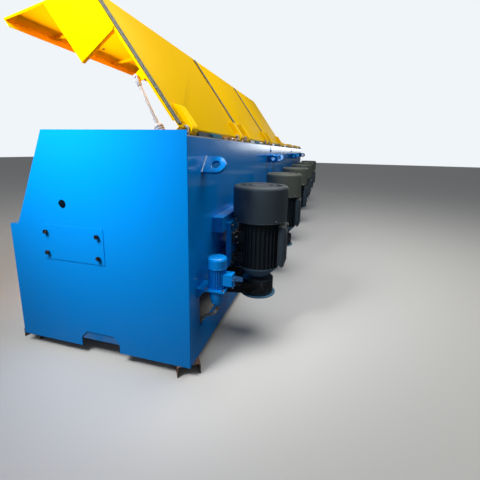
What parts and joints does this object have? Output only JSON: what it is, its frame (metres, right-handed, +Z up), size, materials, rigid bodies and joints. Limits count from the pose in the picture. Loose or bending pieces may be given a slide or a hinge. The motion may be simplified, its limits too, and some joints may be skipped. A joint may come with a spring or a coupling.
{
  "type": "straight-line wire drawing machine",
  "caption": "Multi-bay wire drawing machine: deck with drawing blocks, rear motors with V-belts, and strut-held hinged hoods",
  "frame": {"origin": "middle of the machine's footprint, on the floor", "axes": "+X along the line away from the near end, +Y from the motors to the operator's side, +Z up"},
  "size_m": [8.458, 2.02, 2.4092],
  "materials": {
    "body_blue": "gloss machine enamel",
    "hood_yellow": "gloss enamel",
    "motor_grey": "satin enamel",
    "dark_steel": "oiled dark steel",
    "rusty_steel": "rusty rolled channel",
    "strut_chrome": "bright plated",
    "black_plastic": "moulded",
    "belt_rubber": "wrapped V-belt",
    "strip_rubber": "ribbed strip",
    "block_steel": "ground and hard coated",
    "hose_braid": "braided wire"
  },
  "bodies": {
    "frame": {"end_panel_near": "body_blue", "end_panel_far": "body_blue", "rear_panels": "body_blue", "front_panels": "body_blue", "deck_plates": "body_blue", "base_rails": "body_blue", "cross_members": "body_blue", "bulkheads": "body_blue", "support_channels": "rusty_steel", "hinge_rails": "dark_steel", "strut_brackets": "strut_chrome", "lifting_lugs": "body_blue", "access_covers": "body_blue", "cover_knobs": "black_plastic", "motor_rails": "body_blue", "motor_plates": "body_blue", "motor_frames": "motor_grey", "motor_cowls": "motor_grey", "terminal_boxes": "motor_grey", "motor_pulleys": "body_blue", "drive_belts": "belt_rubber", "driven_pulleys": "dark_steel", "gear_housings": "body_blue", "drawing_blocks": "block_steel", "die_boxes": "motor_grey", "guide_sheaves": "block_steel", "coolant_pump": "body_blue", "coolant_hose": "hose_braid"},
    "hood_1": {"hood_1": "hood_yellow", "hood_strip_1": "strip_rubber"},
    "strut_tubes_1": {"strut_tubes_1": "strut_chrome"},
    "strut_rods_1": {"strut_rods_1": "strut_chrome"},
    "hood_2": {"hood_2": "hood_yellow", "hood_strip_2": "strip_rubber"},
    "strut_tubes_2": {"strut_tubes_2": "strut_chrome"},
    "strut_rods_2": {"strut_rods_2": "strut_chrome"},
    "hood_3": {"hood_3": "hood_yellow", "hood_strip_3": "strip_rubber"},
    "strut_tubes_3": {"strut_tubes_3": "strut_chrome"},
    "strut_rods_3": {"strut_rods_3": "strut_chrome"},
    "hood_4": {"hood_4": "hood_yellow", "hood_strip_4": "strip_rubber"},
    "strut_tubes_4": {"strut_tubes_4": "strut_chrome"},
    "strut_rods_4": {"strut_rods_4": "strut_chrome"},
    "hood_5": {"hood_5": "hood_yellow", "hood_strip_5": "strip_rubber"},
    "strut_tubes_5": {"strut_tubes_5": "strut_chrome"},
    "strut_rods_5": {"strut_rods_5": "strut_chrome"},
    "hood_6": {"hood_6": "hood_yellow", "hood_strip_6": "strip_rubber"},
    "strut_tubes_6": {"strut_tubes_6": "strut_chrome"},
    "strut_rods_6": {"strut_rods_6": "strut_chrome"}
  },
  "joints": [
    {"name": "hood_1_hinge", "type": "hinge", "parent": "frame", "child": "hood_1", "pos_m": [-3.5, -0.415, 1.63], "axis": [1, 0, 0], "range_deg": [-54.7, 0]},
    {"name": "strut_tubes_1_pivot", "type": "hinge", "parent": "frame", "child": "strut_tubes_1", "pos_m": [-3.5, -0.289, 1.523], "axis": [1, 0, 0], "range_deg": [-61.42, 0]},
    {"name": "strut_rods_1_slide", "type": "slide", "parent": "strut_tubes_1", "child": "strut_rods_1", "axis": [0, 0.4406, 0.8977], "range_m": [-0.1469, 0]},
    {"name": "hood_2_hinge", "type": "hinge", "parent": "frame", "child": "hood_2", "pos_m": [-2.1, -0.415, 1.63], "axis": [1, 0, 0], "range_deg": [-54.7, 0]},
    {"name": "strut_tubes_2_pivot", "type": "hinge", "parent": "frame", "child": "strut_tubes_2", "pos_m": [-2.1, -0.289, 1.523], "axis": [1, 0, 0], "range_deg": [-61.42, 0]},
    {"name": "strut_rods_2_slide", "type": "slide", "parent": "strut_tubes_2", "child": "strut_rods_2", "axis": [0, 0.4406, 0.8977], "range_m": [-0.1469, 0]},
    {"name": "hood_3_hinge", "type": "hinge", "parent": "frame", "child": "hood_3", "pos_m": [-0.7, -0.415, 1.63], "axis": [1, 0, 0], "range_deg": [-54.7, 0]},
    {"name": "strut_tubes_3_pivot", "type": "hinge", "parent": "frame", "child": "strut_tubes_3", "pos_m": [-0.7, -0.289, 1.523], "axis": [1, 0, 0], "range_deg": [-61.42, 0]},
    {"name": "strut_rods_3_slide", "type": "slide", "parent": "strut_tubes_3", "child": "strut_rods_3", "axis": [0, 0.4406, 0.8977], "range_m": [-0.1469, 0]},
    {"name": "hood_4_hinge", "type": "hinge", "parent": "frame", "child": "hood_4", "pos_m": [0.7, -0.415, 1.63], "axis": [1, 0, 0], "range_deg": [0, 54.7]},
    {"name": "strut_tubes_4_pivot", "type": "hinge", "parent": "frame", "child": "strut_tubes_4", "pos_m": [0.7, -0.289, 1.523], "axis": [1, 0, 0], "range_deg": [0, 61.42]},
    {"name": "strut_rods_4_slide", "type": "slide", "parent": "strut_tubes_4", "child": "strut_rods_4", "axis": [0, 0.9989, 0.046], "range_m": [0, 0.1469]},
    {"name": "hood_5_hinge", "type": "hinge", "parent": "frame", "child": "hood_5", "pos_m": [2.1, -0.415, 1.63], "axis": [1, 0, 0], "range_deg": [0, 54.7]},
    {"name": "strut_tubes_5_pivot", "type": "hinge", "parent": "frame", "child": "strut_tubes_5", "pos_m": [2.1, -0.289, 1.523], "axis": [1, 0, 0], "range_deg": [0, 61.42]},
    {"name": "strut_rods_5_slide", "type": "slide", "parent": "strut_tubes_5", "child": "strut_rods_5", "axis": [0, 0.9989, 0.046], "range_m": [0, 0.1469]},
    {"name": "hood_6_hinge", "type": "hinge", "parent": "frame", "child": "hood_6", "pos_m": [3.5, -0.415, 1.63], "axis": [1, 0, 0], "range_deg": [0, 54.7]},
    {"name": "strut_tubes_6_pivot", "type": "hinge", "parent": "frame", "child": "strut_tubes_6", "pos_m": [3.5, -0.289, 1.523], "axis": [1, 0, 0], "range_deg": [0, 61.42]},
    {"name": "strut_rods_6_slide", "type": "slide", "parent": "strut_tubes_6", "child": "strut_rods_6", "axis": [0, 0.9989, 0.046], "range_m": [0, 0.1469]}
  ],
  "couplings": [
    {"joint": "strut_tubes_1_pivot", "follows": "hood_1_hinge", "ratio": 1.1192},
    {"joint": "strut_rods_1_slide", "follows": "hood_1_hinge", "m_per_rad": 0.15286},
    {"joint": "strut_tubes_2_pivot", "follows": "hood_2_hinge", "ratio": 1.1192},
    {"joint": "strut_rods_2_slide", "follows": "hood_2_hinge", "m_per_rad": 0.15286},
    {"joint": "strut_tubes_3_pivot", "follows": "hood_3_hinge", "ratio": 1.1192},
    {"joint": "strut_rods_3_slide", "follows": "hood_3_hinge", "m_per_rad": 0.15286},
    {"joint": "strut_tubes_4_pivot", "follows": "hood_4_hinge", "ratio": 1.1192},
    {"joint": "strut_rods_4_slide", "follows": "hood_4_hinge", "m_per_rad": 0.15286},
    {"joint": "strut_tubes_5_pivot", "follows": "hood_5_hinge", "ratio": 1.1192},
    {"joint": "strut_rods_5_slide", "follows": "hood_5_hinge", "m_per_rad": 0.15286},
    {"joint": "strut_tubes_6_pivot", "follows": "hood_6_hinge", "ratio": 1.1192},
    {"joint": "strut_rods_6_slide", "follows": "hood_6_hinge", "m_per_rad": 0.15286}
  ]
}
